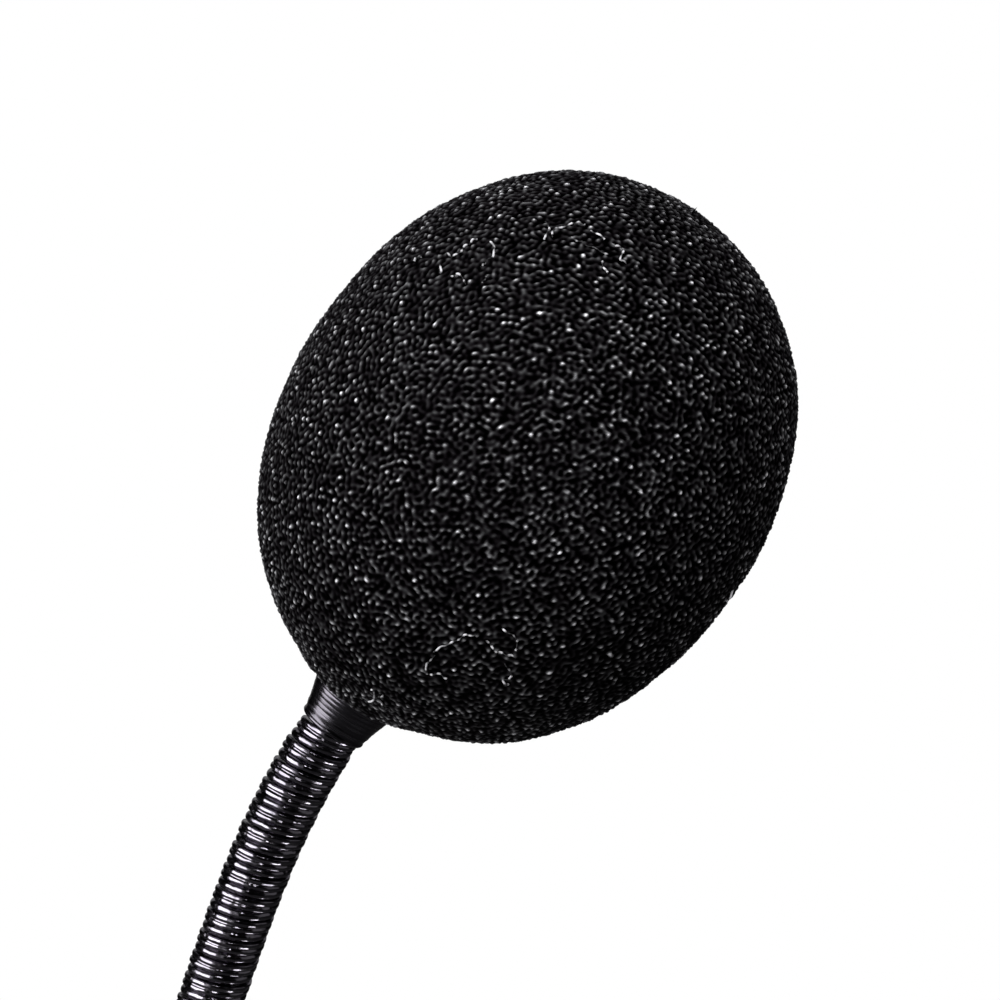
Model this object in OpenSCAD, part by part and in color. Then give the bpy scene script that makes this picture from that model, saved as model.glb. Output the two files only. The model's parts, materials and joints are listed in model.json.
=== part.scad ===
// Gooseneck podium microphone: three-pin plug with a preamp barrel, a flexible neck wound from two
// wires, and a capsule housing under a foam windscreen.
// The origin is the centre of the plug's open mouth. +Z runs up the barrel, and the head leans to +X.
// Radii end in _r, diameters in _d and heights in _h. All sizes are millimetres and degrees.

/* [Plug] */
// Outside diameter of the plug shell and the barrel
barrel_d = 19; // [18.4:0.2:21]
// Bore of the plug shell
plug_bore_d = 16.2; // [15.8:0.1:16.6]
// Depth from the plug's mouth to the insert's face
plug_depth = 15.5; // [13:0.5:18]
// Length of the shell that shows below the barrel
shell_h = 22; // [21:0.5:26]
// Length of the shell's spigot inside the barrel
shell_spigot_h = 7; // [5:0.5:10]
// Thickness of the shell's spigot
shell_spigot_wall = 0.65; // [0.5:0.05:0.7]
// Thickness of the plastic insert
insert_h = 9; // [7:0.5:11]
// Diameter of a contact pin
pin_d = 2.36; // [2:0.04:2.6]
// Diameter of the circle that the pins stand on
pin_circle_d = 8.1; // [7.4:0.1:8.6]
// How far the pins' tips lie behind the mouth
pin_tip_z = 2.5; // [1:0.5:4]
// Diameter of a pin's tail, which runs through the insert
pin_tail_d = 1.6; // [1.2:0.1:1.9]
// Length of a pin's tail behind the insert
pin_tail_h = 9; // [7.5:0.5:10]
// Width of the latch window in the shell
latch_w = 4; // [3:0.5:5]
// Height of the latch window in the shell
latch_h = 2.6; // [2:0.2:4]
// Height of the latch window's lower edge
latch_z = 5.5; // [4:0.5:7]
// Width of the key rib
key_w = 1.8; // [1.2:0.1:2.2]
// Height of the key rib above the bore
key_t = 1; // [0.6:0.1:1.3]
// Width of the earth spring
spring_w = 2.6; // [2:0.2:3.2]
// Thickness of the earth spring
spring_t = 0.3; // [0.2:0.05:0.4]
// Length of the earth spring
spring_h = 9; // [6:0.5:11]

/* [Barrel] */
// Height of the barrel's top above the mouth
barrel_top_z = 92; // [88:1:120]
// Bore of the barrel
barrel_bore_d = 16.4; // [15.8:0.1:16.8]
// Thickness of the insulating sleeve
sleeve_wall = 0.4; // [0.3:0.1:0.6]
// Length of the insulating sleeve
sleeve_h = 49; // [47:1:52]
// Thickness of the preamp board
board_t = 1; // [0.8:0.1:1.6]
// Length of the preamp board
board_h = 46; // [44:1:47]
// Diameter of a capacitor
capacitor_d = 4; // [3:0.25:4.25]
// Length of a capacitor
capacitor_h = 6.5; // [5:0.5:8]
// Length of a chip along the board
chip_h = 5; // [4:0.5:6]
// Width of a chip's body
chip_w = 4; // [3:0.5:5]
// Thickness of a chip
chip_t = 1.5; // [1:0.1:2]
// Outside diameter of the ring inductor
inductor_d = 7; // [6:0.5:7.5]
// Thickness of the ring inductor
inductor_t = 2.6; // [2:0.2:3.2]
// Diameter of a lead wire
lead_d = 0.7; // [0.5:0.1:0.9]
// Distance between the two leads of a pair
lead_spacing = 1.6; // [1.2:0.1:1.8]
// Length of the cable's two bared leads along the board
board_lead_h = 6; // [5:0.5:8]
// Height of the bushing inside the barrel
bushing_h = 8; // [6:0.5:10]
// Diameter of the bushing's stem under the neck
stem_d = 7.8; // [7:0.1:8]
// Diameter of the grub screw
grub_d = 2.5; // [2:0.5:3]
// Height of the ferrule that covers the neck's foot
ferrule_h = 11; // [10:0.5:14]
// Diameter of the ferrule's upper rim
ferrule_rim_d = 10.2; // [9.6:0.2:12]
// Height of the ferrule's straight lower band
ferrule_band_h = 2.6; // [2:0.2:4]
// Thickness of the rubber ring's cord
ring_cord_d = 1.1; // [0.8:0.1:1.4]
// Diameter of the grommet round the cable
grommet_d = 6.4; // [5:0.2:7]

/* [Neck] */
// Outside diameter of the neck
neck_d = 8; // [7.6:0.1:8.4]
// Distance from one turn to the next, along the neck
turn_pitch = 2.94; // [2.8:0.02:3.1]
// Turns of each wire in one length of the neck
turns_per_length = 10; // [9:1:11]
// Width of the wide wire's crown
crown_w = 1.56; // [1.4:0.02:1.64]
// Depth of the groove along the wide wire's crown
crown_groove = 0.06; // [0.02:0.01:0.1]
// Width of the wide wire at its root
root_w = 0.9; // [0.6:0.05:1]
// Radial height of the wide wire
wide_wire_h = 1.4; // [1.1:0.05:1.5]
// Diameter of the round wire
round_wire_d = 1.4; // [1.3:0.02:1.46]
// How far the round wire's crests lie below the wide wire's crowns
round_wire_drop = 0.2; // [0.1:0.02:0.3]
// Diameter of the cable inside the neck
cable_d = 3.2; // [2.8:0.1:3.4]
// Gap between the ball end of one length of cable and the foot of the next
cable_gap = 0.3; // [0.2:0.05:0.5]
// Length of the neck's straight foot
straight_l = 85; // [40:5:150]
// Length of the crook under the head
crook_l = 35; // [25:1:50]
// Lean of the neck where the crook begins
crook_lean = 18.3; // [5:0.1:30]
// Lean of the head
head_lean = 34.1; // [20:0.1:60]
// How the lean grows along the crook: 1 is a plain arc, more bends it nearer to the head
crook_power = 1.8; // [1:0.1:2.5]

/* [Head] */
// Diameter of the collar's lower edge
collar_foot_d = 7.3; // [7.1:0.1:7.6]
// Diameter of the collar above its lower chamfer
collar_waist_d = 9.04; // [8.8:0.1:9.6]
// Height of the collar's lower chamfer
collar_chamfer_h = 1.75; // [1:0.05:2]
// Height of the part of the collar that shows
collar_h = 5.4; // [5:0.1:6]
// Length of the collar's spigot inside the neck
collar_spigot_h = 4; // [3:0.5:4]
// Length of the collar's boss inside the housing
collar_boss_h = 4; // [3:0.5:6]
// Outside diameter of the capsule housing
housing_d = 11; // [10.8:0.1:12]
// Thickness of the housing's wall
housing_wall = 0.55; // [0.45:0.05:0.6]
// Length of the capsule housing
housing_h = 34.5; // [33:0.5:40]
// Thickness of the front cap
grille_t = 0.8; // [0.6:0.1:1.2]
// Diameter of the front cap's holes
grille_hole_d = 1.1; // [0.8:0.1:1.3]
// Width of the housing's side slots
slot_w = 1.2; // [0.8:0.1:1.6]
// Height of the housing's side slots
slot_h = 4.5; // [3:0.5:5]
// Diameter of the capsule
capsule_d = 8; // [7.5:0.1:8.2]
// Height of the capsule
capsule_h = 5.4; // [5:0.1:6]
// Thickness of the capsule's can
can_wall = 0.3; // [0.2:0.05:0.4]
// Gap in front of the capsule
capsule_set_back = 3; // [2.5:0.25:4]

/* [Windscreen] */
// Length of the foam windscreen
foam_h = 73.8; // [60:0.2:80]
// Diameter of the foam windscreen
foam_d = 60.9; // [50:0.1:66]
// Roundness of its outline: 2 is an ellipse, more is fuller
foam_power = 2.09; // [2:0.01:2.3]
// How far the foam's axis lies beside its pocket
foam_offset = 0.5; // [0:0.1:1]
// Height of the foam's lower end above the collar's lower edge
foam_seat_z = 5; // [4.8:0.1:6]
// Space left between the foam and what it slides on
foam_gap = 0.3; // [0.2:0.05:0.5]

/* [Fits] */
// Radial clearance of pieces that are pushed or screwed together
fit_gap = 0.04; // [0.02:0.01:0.06]
// Gap between a piece and the flat that it lies on
seat_gap = 0.05; // [0.02:0.01:0.08]

/* [Hidden] */
$fn = 48;
neck_lengths = 10; // rigid lengths of the neck, one more than its hinges

// Colours
black_metal = [0.06, 0.06, 0.065];
black_plastic = [0.05, 0.05, 0.05];
black_rubber = [0.04, 0.04, 0.04];
black_foam = [0.03, 0.03, 0.03];
bright_metal = [0.78, 0.78, 0.8];
board_green = [0.05, 0.25, 0.14];
copper = [0.72, 0.42, 0.25];

cut = 0.5;               // how far a cutter runs past the face that it cuts
edge_chamfer = 0.5;      // chamfer on the barrel's and shell's outer edges

// Plug
barrel_r = barrel_d / 2;
plug_bore_r = plug_bore_d / 2;
pin_r = pin_d / 2;
pin_tail_r = pin_tail_d / 2;
pin_circle_r = pin_circle_d / 2;
pin_angles = [180, 0, 270];
insert_r = plug_bore_r - fit_gap;
insert_top_z = plug_depth + insert_h;
spigot_r = plug_bore_r + shell_spigot_wall;
insert_screw_r = 1;
insert_screw_z = plug_depth + insert_h / 2;
insert_screw_reach = 2.6; // how deep the screw goes into the insert
slot_depth = 0.8;        // depth of the screw's slot
slot_across = 0.3;       // width of the screw's slot
pin_stand_off = 0.3;     // from the end of a pin's thick part to the insert's face
pin_shoulder_z = plug_depth - pin_stand_off;
pin_nose_step = 0.5;     // radius that a pin loses at its nose
pin_nose_r = pin_r - pin_nose_step;
pin_nose_h = 0.8;
key_angle = 225;
spring_angle = 315;

// Barrel
barrel_bore_r = barrel_bore_d / 2;
sleeve_r = barrel_bore_r - fit_gap;
sleeve_bore_r = sleeve_r - sleeve_wall;
sleeve_z = shell_h + shell_spigot_h + seat_gap;
board_y = pin_tail_r + seat_gap;                       // the board's face towards the pins
board_back_y = board_y + board_t;                      // the face that carries the parts
board_half_w = sqrt(pow(sleeve_bore_r, 2) - pow(board_back_y, 2)) - seat_gap;
board_set_back = 6;                                    // from the insert's back to the board
board_z = insert_top_z + board_set_back;
part_y = board_back_y + seat_gap;                      // where the parts on the board begin
capacitor_z = 3;                                       // heights of the parts above its foot
chip_z = 12;
chip_step = 9;
inductor_z = 34;
capacitor_spacing = 1.2;                               // gap between the two capacitors
lead_r = lead_d / 2;
bushing_r = barrel_bore_r - fit_gap;
bushing_z = barrel_top_z - bushing_h;
stem_r = stem_d / 2;
cable_play = 0.15;                                     // space round the cable
cable_r = cable_d / 2;
stem_bore_r = cable_r + cable_play;
grub_r = grub_d / 2;
grub_z = barrel_top_z - bushing_h / 2;
grommet_r = grommet_d / 2;
grommet_sink = 3;                                      // how deep the grommet sits in the bushing
grommet_flange_w = 1.2;
grommet_flange_r = grommet_r + grommet_flange_w;
grommet_flange_t = 1.5;
cable_tail_h = 2;                                      // sheath that shows below the grommet
cable_foot_z = bushing_z - grommet_flange_t - cable_tail_h;
grub_bite = 0.2;                                       // what is left between grub screw and stem
grub_sink = 0.4;                                       // how deep its outer end lies
grub_socket_depth = 1.2;
ring_cord_r = ring_cord_d / 2;
ring_seat_r = barrel_r - 2 * ring_cord_r - seat_gap;   // bottom of the rubber ring's groove
ring_z = barrel_top_z + ring_cord_r + seat_gap;
ring_groove_top_z = ring_z + ring_cord_r + seat_gap;
ferrule_top_z = barrel_top_z + ferrule_h;
ferrule_cup_h = 2.5;                                   // depth of the cup round the neck's foot
ferrule_play = 0.1;                                    // space between that cup and the neck

// Neck wires
neck_r = neck_d / 2;
round_wire_r = round_wire_d / 2;
round_wire_centre_r = neck_r - round_wire_drop - round_wire_r;
wide_root_r = neck_r - wide_wire_h;
crown_edge = 0.16;       // rounding of the wide wire's edges
coil_bore_r = round_wire_centre_r - round_wire_r;
spigot_play = 0.1;       // space between a spigot and the coil round it
spigot_out_r = coil_bore_r - spigot_play;
spigot_bore_r = cable_r + cable_play;
cable_sides = 8;
cable_ball_inset = 0.03; // how far the ball lies inside the flats of the cable
cable_ball_r = cable_r * cos(180 / cable_sides) - cable_ball_inset;

// Neck centreline. Stations lie half a turn apart, and the wide wire's turns are on the even ones.
station_step = turn_pitch / 2;
stations_per_length = 2 * turns_per_length;
last_station = stations_per_length * neck_lengths;
neck_l = last_station * station_step;
stem_top_z = ferrule_top_z - ferrule_cup_h;
neck_z = stem_top_z + crown_w / 2 + seat_gap;
crook_start = neck_l - crook_l;

// Lean of the centreline from the vertical, at a distance along the neck
function lean(s) =
    s <= straight_l ? 0 :
    s <= crook_start ? crook_lean * (s - straight_l) / (crook_start - straight_l) :
    crook_lean + (head_lean - crook_lean) * pow(min(1, (s - crook_start) / crook_l), crook_power);

// Centreline points [x, z] at every station, stepped along the lean at the middle of each step
path = [
    for (i = 0, p = [0, neck_z], a = lean(station_step / 2);
         i <= last_station;
         p = p + station_step * [sin(a), cos(a)], i = i + 1, a = lean((i + 0.5) * station_step)) p
];

// A centreline point at any distance, which runs on straight past both ends
function along(s) =
    let (
        i = max(0, min(last_station - 1, floor(s / station_step))),
        rest = s - i * station_step,
        a = s > neck_l ? head_lean : s < 0 ? 0 : lean((i + 0.5) * station_step),
        from = s > neck_l ? path[last_station] : path[i],
        over = s > neck_l ? s - neck_l : rest
    ) from + over * [sin(a), cos(a)];
function lean_along(s) = s <= 0 ? 0 : s >= neck_l ? head_lean : lean(s);

// Head, measured along its axis from the collar's lower edge
collar_foot_r = collar_foot_d / 2;
collar_waist_r = collar_waist_d / 2;
housing_r = housing_d / 2;
housing_bore_r = housing_r - housing_wall;
housing_top = collar_h + housing_h;
cable_end_h = 3;         // how far the cable runs on past the collar's boss
cable_top = collar_h + collar_boss_h + cable_end_h;
grille_skirt_h = 2.4;
grille_skirt_wall = 0.55;
grille_skirt_r = housing_bore_r - fit_gap;
cloth_t = 0.3;
cloth_r = grille_skirt_r - grille_skirt_wall - fit_gap;
capsule_r = capsule_d / 2;
capsule_top = housing_top - capsule_set_back;
capsule_z = capsule_top - capsule_h;
capsule_bore_r = capsule_r - can_wall;
capsule_board_sink = 0.2; // how deep the round board lies in the can
capsule_board_t = 0.8;
capsule_board_z = capsule_z + capsule_board_sink;
boot_r = housing_bore_r - fit_gap;
boot_bore_r = capsule_r + fit_gap;
boot_lip = 0.5;          // thickness of the boot's lip under the capsule
boot_lip_w = 0.4;        // how far the lip reaches in past the can's wall
slot_count = 6;
slot_rows = 2;
slot_margin = 1.5;       // wall between two rows of slots, and between them and the boot
slot_row_step = slot_h + slot_margin;
slot_top = capsule_z - boot_lip - slot_margin;
foam_pocket_r = housing_r + foam_gap;
foam_pocket_rest = 1;    // depth of the foam's pocket past the cap
foam_pocket_top = housing_top + grille_t + foam_pocket_rest;
foam_centre = foam_seat_z + foam_h / 2;
foam_points = 18;

// Shapes used more than once

module tube(outer_r, inner_r, h) {
    difference() {
        cylinder(r = outer_r, h = h);
        translate([0, 0, -cut]) cylinder(r = inner_r, h = h + 2 * cut);
    }
}

// Places its children on the neck's centreline at a station, square to it
module at_station(i) {
    translate([path[i][0], 0, path[i][1]])
        rotate([0, lean_along(i * station_step), 0])
            children();
}

// Places its children in the head's own axes, from the collar's lower edge
module at_head() {
    at_station(last_station) children();
}

// A radial hole or screw at an angle round the Z axis, from one radius out to another
module radial(angle, z, from_r, to_r, r) {
    rotate([0, 0, angle])
        translate([from_r, 0, z])
            rotate([0, 90, 0])
                cylinder(r = r, h = to_r - from_r);
}

// Plug

module plug_shell() {
    color(black_metal) difference() {
        union() {
            rotate_extrude() polygon([
                [0, 0], [barrel_r - edge_chamfer, 0], [barrel_r, edge_chamfer],
                [barrel_r, shell_h], [0, shell_h]
            ]);
            cylinder(r = spigot_r, h = shell_h + shell_spigot_h);
        }
        translate([0, 0, -cut]) cylinder(r = plug_bore_r, h = shell_h + shell_spigot_h + 2 * cut);
        translate([-latch_w / 2, 0, latch_z]) cube([latch_w, barrel_r + cut, latch_h]);
        radial(90, insert_screw_z, 0, barrel_r + cut, insert_screw_r + fit_gap);
    }
}

module xlr_insert() {
    color(black_plastic) difference() {
        union() {
            translate([0, 0, plug_depth]) cylinder(r = insert_r, h = insert_h);
            intersection() {
                translate([0, 0, pin_tip_z]) tube(insert_r, insert_r - key_t, plug_depth);
                rotate([0, 0, key_angle])
                    translate([0, -key_w / 2, pin_tip_z])
                        cube([barrel_r, key_w, plug_depth]);
            }
        }
        for (a = pin_angles)
            rotate([0, 0, a])
                translate([pin_circle_r, 0, plug_depth - cut])
                    cylinder(r = pin_tail_r + fit_gap, h = insert_h + 2 * cut);
        radial(90, insert_screw_z, insert_r - insert_screw_reach, barrel_r,
               insert_screw_r + fit_gap);
    }
}

module xlr_pin(number) {
    color(bright_metal)
        rotate([0, 0, pin_angles[number - 1]])
            translate([pin_circle_r, 0, 0])
                rotate_extrude() polygon([
                    [0, pin_tip_z], [pin_nose_r, pin_tip_z],
                    [(pin_nose_r + 2 * pin_r) / 3, pin_tip_z + pin_nose_h / 3],
                    [pin_r, pin_tip_z + pin_nose_h], [pin_r, pin_shoulder_z],
                    [pin_tail_r, pin_shoulder_z], [pin_tail_r, insert_top_z + pin_tail_h],
                    [0, insert_top_z + pin_tail_h]
                ]);
}

module earth_spring() {
    color(bright_metal)
        rotate([0, 0, spring_angle])
            intersection() {
                translate([0, 0, plug_depth - spring_h])
                    tube(plug_bore_r - fit_gap, plug_bore_r - fit_gap - spring_t,
                         spring_h - seat_gap);
                translate([0, -spring_w / 2, 0]) cube([barrel_r, spring_w, plug_depth]);
            }
}

module insert_screw() {
    screw_l = barrel_r - edge_chamfer - insert_r + insert_screw_reach - seat_gap;
    color(bright_metal) difference() {
        radial(90, insert_screw_z, insert_r - insert_screw_reach + seat_gap,
               insert_r - insert_screw_reach + seat_gap + screw_l, insert_screw_r);
        translate([-insert_screw_r, barrel_r - edge_chamfer - slot_depth,
                   insert_screw_z - slot_across / 2])
            cube([2 * insert_screw_r, slot_depth + cut, slot_across]);
    }
}

// Barrel

module preamp_barrel() {
    counterbore_r = spigot_r + fit_gap;
    color(black_metal) difference() {
        rotate_extrude() polygon([
            [0, shell_h], [barrel_r - edge_chamfer, shell_h], [barrel_r, shell_h + edge_chamfer],
            [barrel_r, barrel_top_z - edge_chamfer], [barrel_r - edge_chamfer, barrel_top_z],
            [0, barrel_top_z]
        ]);
        translate([0, 0, shell_h - cut])
            cylinder(r = barrel_bore_r, h = barrel_top_z - shell_h + 2 * cut);
        translate([0, 0, shell_h - cut])
            cylinder(r = counterbore_r, h = shell_spigot_h + seat_gap + cut);
        radial(270, grub_z, 0, barrel_r + cut, grub_r + fit_gap);
    }
}

module insulating_sleeve() {
    color("ivory") translate([0, 0, sleeve_z]) tube(sleeve_r, sleeve_bore_r, sleeve_h);
}

module preamp_board() {
    color(board_green)
        translate([-board_half_w, board_y, board_z]) cube([2 * board_half_w, board_t, board_h]);
}

module board_chips() {
    leg_w = 0.4;
    leg_pitch = 1.27;
    leg_root = 0.02; // how far a leg reaches into the chip
    color(black_plastic) for (row = [0, 1]) {
        z = board_z + chip_z + row * chip_step;
        translate([-chip_w / 2, part_y, z]) cube([chip_w, chip_t, chip_h]);
        for (side = [-1, 1], k = [0 : 2])
            translate([side * (chip_w / 2 + leg_w / 2 - leg_root) - leg_w / 2, part_y,
                       z + chip_h / 2 + (k - 1) * leg_pitch - leg_w / 2])
                cube([leg_w, chip_t / 2, leg_w]);
    }
}

module board_capacitors() {
    capacitor_r = capacitor_d / 2;
    color("dimgray") for (side = [-1, 1])
        translate([side * (capacitor_r + capacitor_spacing / 2), part_y + capacitor_r,
                   board_z + capacitor_z])
            cylinder(r = capacitor_r, h = capacitor_h);
}

module board_inductor() {
    core_r = inductor_t / 2;
    color(copper)
        translate([0, part_y + core_r, board_z + inductor_z])
            rotate([90, 0, 0])
                rotate_extrude() translate([inductor_d / 2 - core_r, 0]) circle(r = core_r);
}

module board_leads() {
    color(copper) {
        for (side = [-1, 1])
            translate([side * lead_spacing / 2, board_y - lead_r - seat_gap,
                       cable_foot_z - board_lead_h])
                cylinder(r = lead_r, h = board_lead_h);
        translate([0, board_y - seat_gap, insert_top_z + pin_tail_h - 1])
            rotate([90, 0, 0])
                cylinder(r = lead_r, h = board_y + pin_circle_r - pin_tail_r - 2 * seat_gap);
    }
}

module cable_grommet() {
    color(black_rubber) translate([0, 0, bushing_z]) difference() {
        union() {
            translate([0, 0, -grommet_flange_t - seat_gap])
                cylinder(r = grommet_flange_r, h = grommet_flange_t);
            translate([0, 0, -grommet_flange_t])
                cylinder(r = grommet_r, h = grommet_flange_t + grommet_sink - seat_gap);
        }
        translate([0, 0, -grommet_flange_t - cut])
            cylinder(r = cable_r + fit_gap, h = grommet_flange_t + grommet_sink + 2 * cut);
    }
}

module neck_bushing() {
    color(bright_metal) difference() {
        union() {
            translate([0, 0, bushing_z]) cylinder(r = bushing_r, h = bushing_h);
            translate([0, 0, bushing_z]) cylinder(r = stem_r, h = stem_top_z - bushing_z);
            translate([0, 0, bushing_z])
                cylinder(r = spigot_out_r, h = stem_top_z - bushing_z + collar_spigot_h);
        }
        translate([0, 0, bushing_z - cut])
            cylinder(r = stem_bore_r, h = stem_top_z - bushing_z + collar_spigot_h + 2 * cut);
        translate([0, 0, bushing_z - cut])
            cylinder(r = grommet_r + fit_gap, h = grommet_sink + cut);
        radial(270, grub_z, stem_r + grub_bite, barrel_r, grub_r + fit_gap);
    }
}

module grub_screw() {
    screw_from = stem_r + grub_bite + seat_gap;
    screw_to = barrel_r - grub_sink;
    socket_r = grub_r / 2;
    color(bright_metal) difference() {
        radial(270, grub_z, screw_from, screw_to, grub_r);
        rotate([0, 0, 270])
            translate([screw_to - grub_socket_depth, 0, grub_z])
                rotate([0, 90, 0])
                    cylinder(r = socket_r, h = grub_socket_depth + cut, $fn = 6);
    }
}

module neck_ferrule() {
    band_edge = 0.2;
    rim_edge = 0.4;
    color(black_metal) rotate_extrude() polygon([
        [stem_r + fit_gap, barrel_top_z + seat_gap], [ring_seat_r, barrel_top_z + seat_gap],
        [ring_seat_r, ring_groove_top_z], [barrel_r - band_edge, ring_groove_top_z],
        [barrel_r, ring_groove_top_z + band_edge], [barrel_r, barrel_top_z + ferrule_band_h],
        [ferrule_rim_d / 2, ferrule_top_z - rim_edge],
        [ferrule_rim_d / 2 - rim_edge, ferrule_top_z],
        [neck_r + ferrule_play, ferrule_top_z], [neck_r + ferrule_play, stem_top_z],
        [stem_r + fit_gap, stem_top_z]
    ]);
}

module ferrule_ring() {
    color(black_rubber)
        translate([0, 0, ring_z])
            rotate_extrude()
                translate([ring_seat_r + ring_cord_r + seat_gap / 2, 0]) circle(r = ring_cord_r);
}

// Neck

// One turn of the wide wire: a wedge with a shallow groove along its crown
module wide_turn() {
    half = crown_w / 2;
    rotate_extrude() polygon([
        [wide_root_r, -root_w / 2], [neck_r - crown_edge, -half], [neck_r, -half + crown_edge],
        [neck_r - crown_groove, 0],
        [neck_r, half - crown_edge], [neck_r - crown_edge, half], [wide_root_r, root_w / 2]
    ]);
}

// One turn of the round wire
module round_turn() {
    rotate_extrude() translate([round_wire_centre_r, 0]) circle(r = round_wire_r);
}

// Length number i of the outer coil. The turn at each hinge is left out, so that the neck can bend.
module outer_coil(i) {
    first = (i - 1) * turns_per_length + (i == 1 ? 0 : 1);
    color(black_metal)
        for (k = [first : i * turns_per_length - 1])
            at_station(2 * k) wide_turn();
}

module inner_coil(i) {
    color(black_metal)
        for (k = [(i - 1) * turns_per_length : i * turns_per_length - 1])
            at_station(2 * k + 1) round_turn();
}

// Length number i of the cable, swept along the centreline between two hinges. Its upper end is a
// ball about the hinge, and the next length stands off it, so that one turns on the other.
module mic_cable(i) {
    from_turn = (i - 1) * turns_per_length;
    to_turn = i * turns_per_length;
    foot = cable_foot_z - neck_z;
    from = i == 1 ? foot : from_turn * turn_pitch + cable_ball_r + cable_gap;
    to = i == neck_lengths ? neck_l + cable_top : to_turn * turn_pitch;
    stops = concat(
        [from],
        [for (k = [from_turn + 1 : to_turn - 1]) k * turn_pitch],
        i == neck_lengths ? [neck_l] : [],
        [to]
    );
    count = len(stops);
    rings = [
        for (s = stops, k = [0 : cable_sides - 1])
            let (
                centre = along(s),
                a = lean_along(s),
                across = cable_r * cos(k * 360 / cable_sides),
                y = cable_r * sin(k * 360 / cable_sides)
            ) [centre[0] + across * cos(a), y, centre[1] - across * sin(a)]
    ];
    walls = [
        for (r = [0 : count - 2], k = [0 : cable_sides - 1])
            let (
                next = (k + 1) % cable_sides,
                low = r * cable_sides,
                high = low + cable_sides
            ) [low + k, high + k, high + next, low + next]
    ];
    foot_face = [for (k = [0 : cable_sides - 1]) k];
    top_face = [for (k = [cable_sides - 1 : -1 : 0]) (count - 1) * cable_sides + k];
    color(black_rubber) {
        polyhedron(points = rings, faces = concat([foot_face], walls, [top_face]));
        if (i < neck_lengths)
            at_station(2 * to_turn) sphere(r = cable_ball_r);
    }
}

// Head

module head_collar() {
    foot_edge = 0.25;
    waist_edge = 0.4;
    flare_mid = [0.4, 0.36]; // shares of the flare's width and height at its middle point
    flare_mid_r = collar_waist_r + (housing_r - collar_waist_r) * flare_mid[0];
    flare_mid_z = collar_chamfer_h + (collar_h - collar_chamfer_h) * flare_mid[1];
    boss_r = housing_bore_r - fit_gap;
    color(black_metal) at_head() difference() {
        union() {
            rotate_extrude() polygon([
                [0, 0], [collar_foot_r - foot_edge, 0], [collar_foot_r, foot_edge],
                [collar_waist_r - foot_edge, collar_chamfer_h - waist_edge],
                [collar_waist_r, collar_chamfer_h], [flare_mid_r, flare_mid_z],
                [housing_r, collar_h], [0, collar_h]
            ]);
            cylinder(r = boss_r, h = collar_h + collar_boss_h);
            translate([0, 0, -collar_spigot_h]) cylinder(r = spigot_out_r, h = collar_h);
        }
        translate([0, 0, -collar_spigot_h - cut])
            cylinder(r = spigot_bore_r, h = collar_spigot_h + collar_h + collar_boss_h + 2 * cut);
    }
}

module capsule_housing() {
    color(black_metal) at_head() difference() {
        translate([0, 0, collar_h]) tube(housing_r, housing_bore_r, housing_h);
        for (row = [0 : slot_rows - 1], k = [0 : slot_count - 1])
            rotate([0, 0, (k + row / 2) * 360 / slot_count])
                translate([0, -slot_w / 2, slot_top - slot_h - row * slot_row_step])
                    cube([housing_r + cut, slot_w, slot_h]);
    }
}

module housing_grille() {
    hole_rings = [[0, 1], [1.8, 6], [3.4, 12]];
    color(black_metal) at_head() difference() {
        union() {
            translate([0, 0, housing_top]) cylinder(r = housing_r, h = grille_t);
            translate([0, 0, housing_top - grille_skirt_h])
                tube(grille_skirt_r, grille_skirt_r - grille_skirt_wall,
                     grille_skirt_h + grille_t / 2);
        }
        for (ring = hole_rings, k = [1 : ring[1]])
            rotate([0, 0, k * 360 / ring[1]])
                translate([ring[0], 0, housing_top - cut])
                    cylinder(r = grille_hole_d / 2, h = grille_t + 2 * cut);
    }
}

module grille_cloth() {
    color(black_plastic) at_head()
        translate([0, 0, housing_top - cloth_t - seat_gap]) cylinder(r = cloth_r, h = cloth_t);
}

module capsule_can() {
    sound_hole_r = 1.2;
    color(bright_metal) at_head() difference() {
        translate([0, 0, capsule_z]) cylinder(r = capsule_r, h = capsule_h);
        translate([0, 0, capsule_z - cut])
            cylinder(r = capsule_bore_r, h = capsule_h - can_wall + cut);
        translate([0, 0, capsule_z]) cylinder(r = sound_hole_r, h = capsule_h + cut);
    }
}

module capsule_diaphragm() {
    film_t = 0.1;
    ring_h = 0.5;
    ring_wall = 0.6;
    top = capsule_top - can_wall - seat_gap;
    color("gold") at_head() {
        translate([0, 0, top - ring_h])
            tube(capsule_bore_r - fit_gap, capsule_bore_r - fit_gap - ring_wall, ring_h);
        translate([0, 0, top - ring_h]) cylinder(r = capsule_bore_r - 2 * fit_gap, h = film_t);
    }
}

module capsule_backplate() {
    plate_t = 0.9;
    plate_z = capsule_top - can_wall - 2 * plate_t;
    vent_count = 4;
    vent_r = 0.5;
    color(bright_metal) at_head() difference() {
        translate([0, 0, plate_z]) cylinder(r = capsule_bore_r - fit_gap, h = plate_t);
        for (k = [1 : vent_count])
            rotate([0, 0, k * 360 / vent_count])
                translate([capsule_bore_r / 2, 0, plate_z - cut])
                    cylinder(r = vent_r, h = plate_t + 2 * cut);
    }
}

module capsule_board() {
    color(board_green) at_head()
        translate([0, 0, capsule_board_z])
            cylinder(r = capsule_bore_r - fit_gap, h = capsule_board_t);
}

module capsule_boot() {
    color(black_rubber) at_head() difference() {
        translate([0, 0, capsule_z - boot_lip]) cylinder(r = boot_r, h = capsule_h + boot_lip);
        translate([0, 0, capsule_z - seat_gap])
            cylinder(r = boot_bore_r, h = capsule_h + cut + seat_gap);
        translate([0, 0, capsule_z - boot_lip - cut])
            cylinder(r = capsule_bore_r - boot_lip_w, h = capsule_h);
    }
}

module capsule_leads() {
    color(copper) at_head() for (side = [-1, 1])
        translate([0, side * lead_spacing / 2, cable_top])
            cylinder(r = lead_r, h = capsule_board_z - cable_top);
}

// Windscreen

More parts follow.
